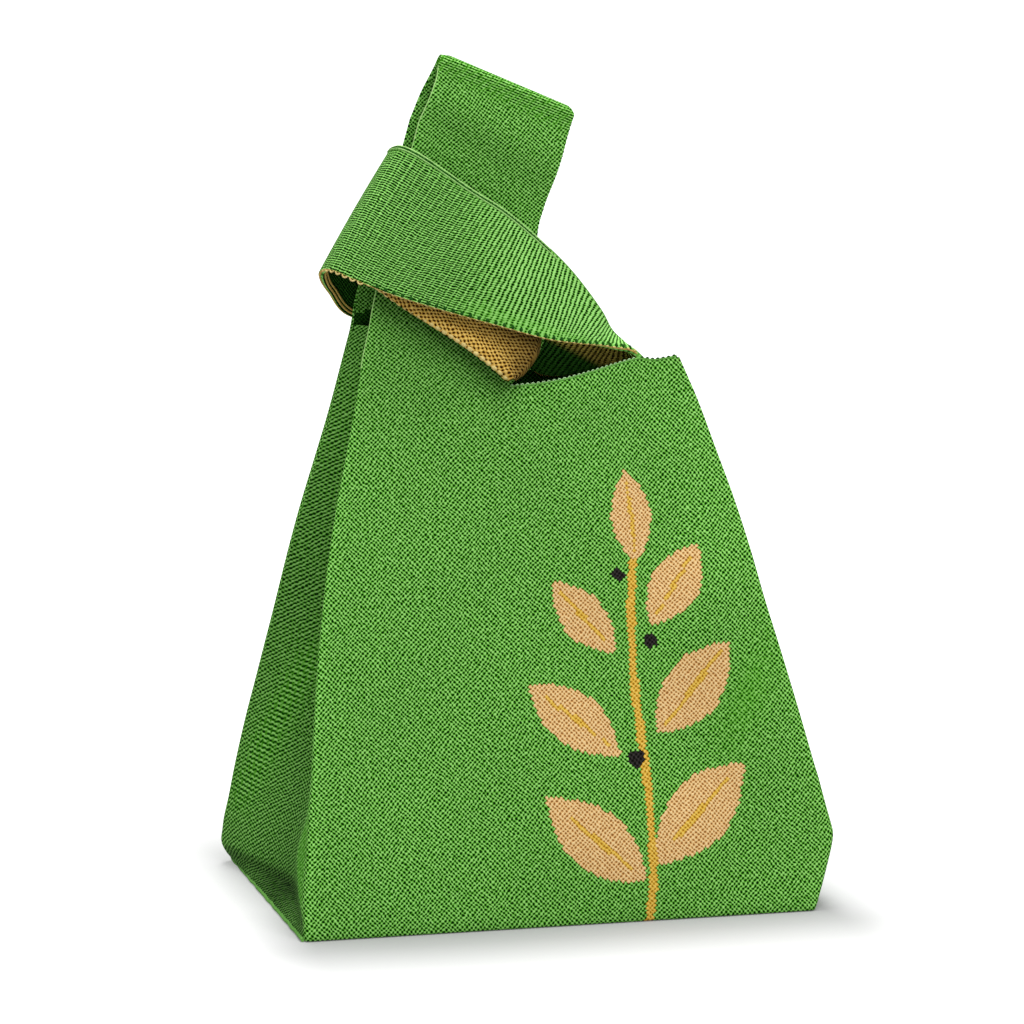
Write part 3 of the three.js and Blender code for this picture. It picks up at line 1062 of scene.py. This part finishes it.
readUpper = smoothPath(band["upper"])
readLower = smoothPath(band["lower"])


@functools.cache
def bandUpper(t):
    return readUpper(t)


@functools.cache
def bandLower(t):
    fromRoot = min(t, 1 - t)
    lean = band["lean"] * ease(fromRoot, 0, 0.12) * (1 - ease(fromRoot, 0.34, 0.47))
    return readLower(t + lean if t < 0.5 else t - lean)


# Which way the band's face looks
@functools.cache
def bandOut(t):
    ahead, behind = min(1, t + 0.004), max(0, t - 0.004)
    along = bandLower(ahead) + bandUpper(ahead) - bandLower(behind) - bandUpper(behind)
    return (bandUpper(t) - bandLower(t)).cross(along).normalized()


def bandPoint(t, v):
    low, high = bandLower(t), bandUpper(t)
    wide = (high - low).length
    endless = 1 - 0.7 * hump(t, 0.5, 0.07)
    bulge = band["bulge"] * math.sin(math.pi * v) * min(1, wide / 40) * endless
    return low.lerp(high, v) + bandOut(t) * (bag["knit"] / 2 + bulge)


def buildBand():
    columns = band["ribs"] * band["stepsPerRib"]
    rows = band["rows"]
    middles = [bandLower(i / columns).lerp(bandUpper(i / columns), 0.45) for i in range(columns + 1)]
    run = runOf(middles)
    wanted = [column / columns * run[-1] for column in range(columns + 1)]
    spots = [(k + part) / columns for k, part in alongRun(run, wanted)]  # evenly spaced along its middle

    def place(column, row):
        return toFrame(*bandPoint(spots[column], row / rows))

    def uv(column, row):
        wide = bandRise(1)(spots[column]).length
        return column / band["stepsPerRib"] * ribStitch["pitch"] * 1000, row / rows * max(12, wide) + 400

    def ribbed(column, row):
        x = bandPoint(spots[column], row / rows).x
        return mix(0.2, 1.0, ease(x, -42, -2))

    def calm(column, row):
        x = bandPoint(spots[column], row / rows).x
        return 0.55 * (1 - ease(row / rows, 0.10, 0.24)) * ease(x, -40, -15) + 0.5 * ease(row / rows, 0.94, 0.98)

    def crest(column, row):
        edges = ease(row, 0, 2) * (1 - ease(row, rows - 3, rows - 1))
        rib = math.cos(2 * math.pi * column / band["stepsPerRib"])
        return band["ribHeight"] * rib * ribbed(column, row) * edges * (1 - calm(column, row))

    def reverse(column, row):
        x, y, z = bandPoint(spots[column], row / rows)
        return ease(x - 21.7 + 1.92 * (z - 217.8), -3, 5)

    obj = clothGrid(
        "bandCloth", columns, rows, place, uv, turned=True,
        shade=lambda c, r: 0.12 * calm(c, r), courses=ribbed, crest=crest, calm=calm, reverse=reverse,
    )
    wear(obj, bandKnit, shadedBandInside)
    thicken(obj)
    return obj


# A line beside the band's face: down from its upper edge or up from its lower one, and out from its middle
def besideBand(fromUpper, away, out):
    def path(t):
        low, high = bandLower(t), bandUpper(t)
        rise = (high - low).normalized()
        start = high - rise * away if fromUpper else low + rise * away
        return start + bandOut(t) * out
    return path


def bandRise(sign):
    return lambda t: (bandUpper(t) - bandLower(t)) * sign


def cordAlong(name, path, start, end, count, radius, material):
    cord = tube(name, [tuple(path(mix(start, end, i / count))) for i in range(count + 1)], radius)
    wear(cord, material)
    return cord


# Each cord as its name, how far from the band's edge, how far out, where it starts and ends, its steps and radius
def bandCords(fromUpper, cords):
    return [cordAlong(name, besideBand(fromUpper, away, out), *rest) for name, away, out, *rest in cords]


bandCloth = buildBand()
topCords = bandCords(True, [
    ("bandTopCord", 0.0, 0.75, 0.21, 0.79, 240, 0.36, paleYarn),
    ("bandTopLine", 1.25, 1.25, 0.20, 0.80, 240, 0.30, lineYarn),
    # painted shade: a thin dark green cord fills the gap between the pale cord and the light line
    ("bandTopGapShade", 0.62, 1.15, 0.21, 0.79, 240, 0.26, greenYarn),
    ("bandTopStart", 0.0, 0.75, 0.02, 0.21, 90, 0.40, hemYarn),
    ("bandTopEnd", 0.0, 0.75, 0.79, 0.98, 90, 0.40, hemYarn),
])
bandTopCord = joinPieces(topCords[0], topCords[1:])
dashes = copyAlong(
    "bandGoldDashes", beadPattern(0.40, 2.4),
    placesAlong(besideBand(False, -0.1, 0.7), 3.6, bandRise(-1), 0.03, 0.35),
)
wear(dashes, creamYarn)
goldCords = bandCords(False, [
    ("bandGoldCord", 0.0, 0.35, 0.46, 0.97, 180, 0.46, goldYarn),
    ("bandGoldFoot", 0.1, 0.1, 0.03, 0.47, 120, 0.34, goldYarn),
    ("bandGoldLine", 1.5, -1.4, 0.46, 0.70, 80, 0.42, goldYarn),
    ("bandInnerLine", 2.9, -1.5, 0.46, 0.70, 80, 0.38, goldYarn),
])
goldCord = joinPieces(goldCords[0], [dashes, *goldCords[1:]])
knobs = copyAlong(
    "bandKnobs", beadPattern(0.88, 0.9),
    placesAlong(besideBand(False, 0.75, 1.0), 3.6, bandRise(-1), 0.038, 0.34),
)
wear(knobs, greenYarn)
scallops = picots(
    "bandScallops", besideBand(False, 0.2, 0.7), 3.4, 1.5, bandRise(-1), creamYarn, 0.35, 0.49, 0.1, 0.24
)
print("band is ready")


facing = {
    "edge": [
        (-9.4, 20.4, 211.6), (-14.5, 21, 216), (-25, 18.9, 224.6), (-39, 16.2, 234.2), (-50.5, 14.6, 241.8),
        (-60.8, 13.2, 249.4),
    ],
    "fold": [(-6.8, 20.4, 212), (-3.2, 19.4, 214.6), (1.6, 18.1, 221), (3.4, 16.6, 226.5), (4.4, 15.7, 231)],
    "columns": 28,
    "rows": 44,
    "turnFrom": 0.62,  # share of the columns that lie flat, before the cloth curls into the mouth
    "reach": 3.4,
    "backReach": 6,
    "depth": 11,
    "thickness": 1.6,
}


def buildFacing(name, way):
    edge = smoothPath([(x, way * y, z) for x, y, z in facing["edge"]])
    wider = facing["backReach"] if way > 0 else 0
    fold = smoothPath([(x + wider * hump(z, 217, 8), way * y, z) for x, y, z in facing["fold"]])
    columns, rows = facing["columns"], facing["rows"]
    long = (edge(1) - edge(0)).normalized()
    wide = Vector((-long.z, 0, long.x)).normalized() * -1

    def flat(s, v):
        spot = edge(v).lerp(fold(v), s)
        spot.y += way * (1.3 * math.sin(math.pi * s) * ease(v, 0, 0.4) - 0.5 * math.sin(9 * s + 5 * v))
        return spot

    def curl(column):
        return max(0.0, (column / columns - facing["turnFrom"]) / (1 - facing["turnFrom"]))

    def place(column, row):
        v = row / rows
        if curl(column) == 0:
            return toFrame(*flat(column / columns / facing["turnFrom"], v))
        angle = curl(column) * math.pi / 2
        reach = mix(1.2, facing["reach"], ease(v, 0, 0.6))
        deep = mix(5, facing["depth"], ease(v, 0, 0.6))
        turned = Vector((reach * math.sin(angle), -way * deep * (1 - math.cos(angle)), -0.8 * math.sin(angle)))
        return toFrame(*(flat(1, v) + turned))

    def uv(column, row):
        spot = flat(min(1, column / columns / facing["turnFrom"]), row / rows)
        return spot.dot(wide) + 11 * curl(column) + 200, spot.dot(long)

    # painted shade: the facing is painted a little paler at its free edge and darker as it curls into the mouth
    def shade(column, row):
        return 0.1 - 0.82 * ease(column / columns, 0.12, 0.68)

    def ways(read):
        return lambda column, row: read(columns - column if way > 0 else column, row)

    obj = clothGrid(name, columns, rows, ways(place), ways(uv), shade=ways(shade))
    wear(obj, goldKnit, greenKnit)
    thicken(obj, facing["thickness"], 0)
    beads = copyAlong(
        name + "Scallops", beadPattern(1.0, 1.5),
        placesAlong(lambda t: edge(t) + Vector((0.3, way * 0.3, 0.4)), 3.0, lambda t: Vector((-0.55, 0, -0.83))),
    )
    wear(beads, creamYarn)
    return joinPieces(obj, [beads])


frontFacing = buildFacing("frontFacing", -1)
backFacing = buildFacing("backFacing", 1)


# An edge of a wall as a path: share and row run from first to last
def wallPath(way, share, rows, inwards, lift=0.0):
    def path(t):
        x, depth, z = onWall(mix(*share, t), mix(*rows, t), way)
        return Vector((x, way * (depth - bag["knit"] * inwards), z + lift))
    return path


def buildNeckEdge(name, way):
    path = wallPath(way, (neckShare + 0.004, 0.985), (strapStart, strapStart), 0.45, 0.2)
    cord = cordAlong(name, path, 0, 1, 80, 0.5, hemYarn)
    yarn = whiteYarn if way < 0 else hemYarn

    def outward(t):
        return Vector((0, way * 0.35, 1))

    loops = picots(name + "Loops", path, 2.2, 0.75, outward, yarn, 0, 0.76, 0.45)
    darker = picots(name + "Ends", path, 2.2, 0.8, outward, greenYarn, 0.78, 1, 0.4)
    return joinPieces(cord, [loops, darker])


frontNeckEdge = buildNeckEdge("frontNeckEdge", -1)
backNeckEdge = buildNeckEdge("backNeckEdge", 1)


# The left edge of the strap's front layer, which ends in a pale line of yarn
def strapEdge(t):
    x, depth, z = wallPoint(3, mix(strapStart + wall["strapRows"] * 0.15, foldStart - 2, t), -1)
    return Vector((x + 0.1, -depth + 0.2, z))


# The tab's right edge, from under the band to the top
tabRows = strapStart + wall["strapRows"] * 0.55, foldStart - 1
for cloth, way in ((frontCloth, -1), (backCloth, 1)):
    edge = wallPath(way, (neckShare, neckShare), tabRows, 0.5)
    edgeLoops = picots("tabLoops", edge, 1.9, 0.5, lambda t: Vector((0.84, 0, 0.55)), hemYarn)
    joinPieces(cloth, [edgeLoops])
joinPieces(frontCloth, [cordAlong("strapLine", strapEdge, 0, 1, 120, 0.34, paleYarn)])


root = {"middle": 48.5, "halfWide": 5.0, "low": -30, "high": -3, "folds": 5, "columns": 40, "rows": 20}


# The gathered foot of the band between front and back, over the right pleat
def buildRoot():
    def point(column, row):
        z = bag["shoulderHeight"] + mix(root["low"], root["high"], row / root["rows"])
        turn = math.pi * 2 * column / root["columns"]
        x = root["middle"] + (root["halfWide"] + 0.4 * math.cos(root["folds"] * turn)) * math.cos(turn)
        half = halfDepth(x, z) - bag["knit"] - 0.6
        return toFrame(x, (half + 0.25 * math.cos(root["folds"] * turn)) * math.sin(turn), z)

    # painted shade: the gathered foot is painted darker all over, where it sits under the band
    obj = clothGrid(
        "bandRoot", root["columns"], root["rows"], point, lambda c, r: (c * 1.2, r * 1.4 + 500),
        shade=lambda c, r: -0.25,
    )
    makeActive(obj)
    bpy.ops.object.mode_set(mode="EDIT")
    bpy.ops.mesh.select_all(action="SELECT")
    bpy.ops.mesh.remove_doubles(threshold=0.00005)
    bpy.ops.mesh.select_all(action="DESELECT")
    bpy.ops.mesh.select_mode(type="EDGE")
    bpy.ops.mesh.select_non_manifold()
    bpy.ops.mesh.fill()
    bpy.ops.mesh.select_all(action="SELECT")
    bpy.ops.mesh.normals_make_consistent(inside=False)
    bpy.ops.object.mode_set(mode="OBJECT")
    bpy.ops.object.shade_smooth_by_angle(angle=math.radians(50))
    wear(obj, greenKnit)
    return obj


bandRoot = buildRoot()
print("edgings are ready")


tabFold = next(j for j in frame["joints"] if j["name"] == "tab_fold")
pivot = Vector(tabFold["pos_m"])
for cloth in (frontCloth, backCloth):
    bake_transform(cloth)
for piece in (leftPleat, rightPleat, baseCloth, leftHem, rightHem, frontFacing, backFacing,
              frontNeckEdge, backNeckEdge, bandRoot):
    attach(piece, "bag_body")
rootStart, rootEnd = toFrame(47, 0, 218), toFrame(22, 0, 240)
for piece in (bandCloth, bandTopCord, goldCord, knobs, scallops):
    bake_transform(piece)

for piece, slot, nodes in (
    (frontCloth, "panel_knit", ("front_panel", "front_strap_layer", "tab_front_layer", "tab_top_fold")),
    (backCloth, "panel_knit", ("back_panel", "back_strap_layer", "tab_back_layer")),
    (baseCloth, "panel_knit", ("base_panel",)),
    (leftPleat, "gusset_knit", ("left_gusset",)),
    (rightPleat, "gusset_knit", ("right_gusset",)),
    (leftHem, "hem_knit", ("base_hem_left",)),
    (rightHem, "hem_knit", ("base_hem_right",)),
    (bandCloth, "band_knit", ("band_front_run", "band_end_fold", "band_back_run")),
    (bandTopCord, "edging_yarn", ("band_upper_edging",)),
    (goldCord, "gold_yarn", ("band_lower_edging",)),
    (frontFacing, "facing_knit", ("front_neck_lapel",)),
    (backFacing, "facing_knit", ("back_neck_lapel",)),
    (frontNeckEdge, "edging_yarn", ("front_neck_edging",)),
    (backNeckEdge, "edging_yarn", ("back_neck_edging",)),
    (bandRoot, "band_knit", ("band_root",)),
    (scallops, "edging_yarn", ()),
    (knobs, "band_knit", ()),
):
    if nodes:
        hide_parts(*nodes)


studio = {
    "azimuth": -14,
    "elevation": 12,
    "distance": 4.0,
    "target": (0, 0, 170),
    "right": -2.28,  # millimetres by which the aim moves from the target, across and up
    "up": -16.15,
    "lens": 352.3,
    "ambient": 0.5,
    "floorColour": 0.44,
    "sideGlow": 0.3,
    "glowRise": (14.0, 1.2),  # it grows with this much a metre towards the back, from this much at the middle
    "shadowFade": (22, 10, 0),  # how fast the shadow gives way to white beside the base and before it
    "lamps": [  # name, azimuth, elevation, distance, size, power
        ("key", 12, 60, 2.4, 1.8, 35),
        ("top", 172, 74, 2.4, 1.0, 26),
    ],
}


# 1 for the camera and for reflections, 0 for everything else
def seenDirectly(tree):
    rays = addNode("LightPath", {}, tree).outputs
    seen = calc("MAXIMUM", rays["Is Camera Ray"], rays["Is Glossy Ray"])
    return calc("MAXIMUM", seen, rays["Is Transmission Ray"])


# A pale floor that keeps the bag's shadow and fades to plain white away from it
def buildFloor():
    deselect()
    bpy.ops.mesh.primitive_plane_add(size=14, location=(0, 0, -0.0002))
    floor = bpy.context.object
    floor.name = "floor"
    material, tree = startNodes(bpy.data.materials, "pale floor")
    place = addNode("TexCoord", {}, tree).outputs["Object"]
    corner = (bag["baseWidth"] / 2000, bag["baseDepth"] / 2000, 0)
    past = vector("SUBTRACT", vector("ABSOLUTE", place), corner)
    past = vector("MULTIPLY", vector("MAXIMUM", past, (0, 0, 0)), studio["shadowFade"])
    fade = calc("MINIMUM", vector("LENGTH", past), 1.0)
    beside = calc("MULTIPLY_ADD", separated(place)[1], *studio["glowRise"], clamp=True)
    diffuse = addNode("BsdfDiffuse", {"Color": (*[studio["floorColour"]] * 3, 1)}, tree)
    # painted light: for the camera the floor glows fully far from the base, a plain white backdrop, and near the
    # base a little beside and behind it, which lifts the bag's shadow there but not in front
    strength = blendNumber(fade, beside * studio["sideGlow"], 1.0)
    glow = addNode("Emission", {"Strength": seenDirectly(tree) * strength})
    both = addNode("AddShader", {0: diffuse.outputs[0], 1: glow.outputs[0]})
    addNode("OutputMaterial", {0: both.outputs[0]})
    wear(floor, material)


def buildWorld():
    bpy.context.scene.world, tree = startNodes(bpy.data.worlds, "studio")
    strength = blendNumber(seenDirectly(tree), studio["ambient"], 1.0)
    around = addNode("Background", {"Color": (1, 1, 1, 1), "Strength": strength})
    addNode("OutputWorld", {0: around.outputs[0]})


def lookingFrom(azimuth, elevation):
    a, e = math.radians(azimuth), math.radians(elevation)
    return Vector((math.sin(a) * math.cos(e), -math.cos(a) * math.cos(e), math.sin(e)))


def buildLamps():
    for name, azimuth, elevation, distance, size, power in studio["lamps"]:
        direction = lookingFrom(azimuth, elevation)
        lamp = bpy.data.lights.new(name, "AREA")
        lamp.shape = "DISK"
        lamp.size = size
        lamp.energy = power
        obj = addObject(name, lamp)
        obj.location = Vector((0, 0, 0.17)) + direction * distance
        obj.rotation_euler = (-direction).to_track_quat("-Z", "Y").to_euler()


def buildCamera():
    back = lookingFrom(studio["azimuth"], studio["elevation"])
    right = lookingFrom(studio["azimuth"] + 90, 0)
    up = back.cross(right)
    aim = toFrame(*studio["target"]) + right * studio["right"] / 1000 + up * studio["up"] / 1000
    data = bpy.data.cameras.new("camera")
    data.lens = studio["lens"]
    data.sensor_width = 36
    data.clip_end = 60
    camera = addObject("camera", data)
    camera.location = aim + back * studio["distance"]
    camera.rotation_euler = (-back).to_track_quat("-Z", "Y").to_euler()
    bpy.context.scene.camera = camera


buildFloor()
buildWorld()
buildLamps()
buildCamera()
bpy.context.scene.view_settings.view_transform = "Standard"
print("studio is ready")
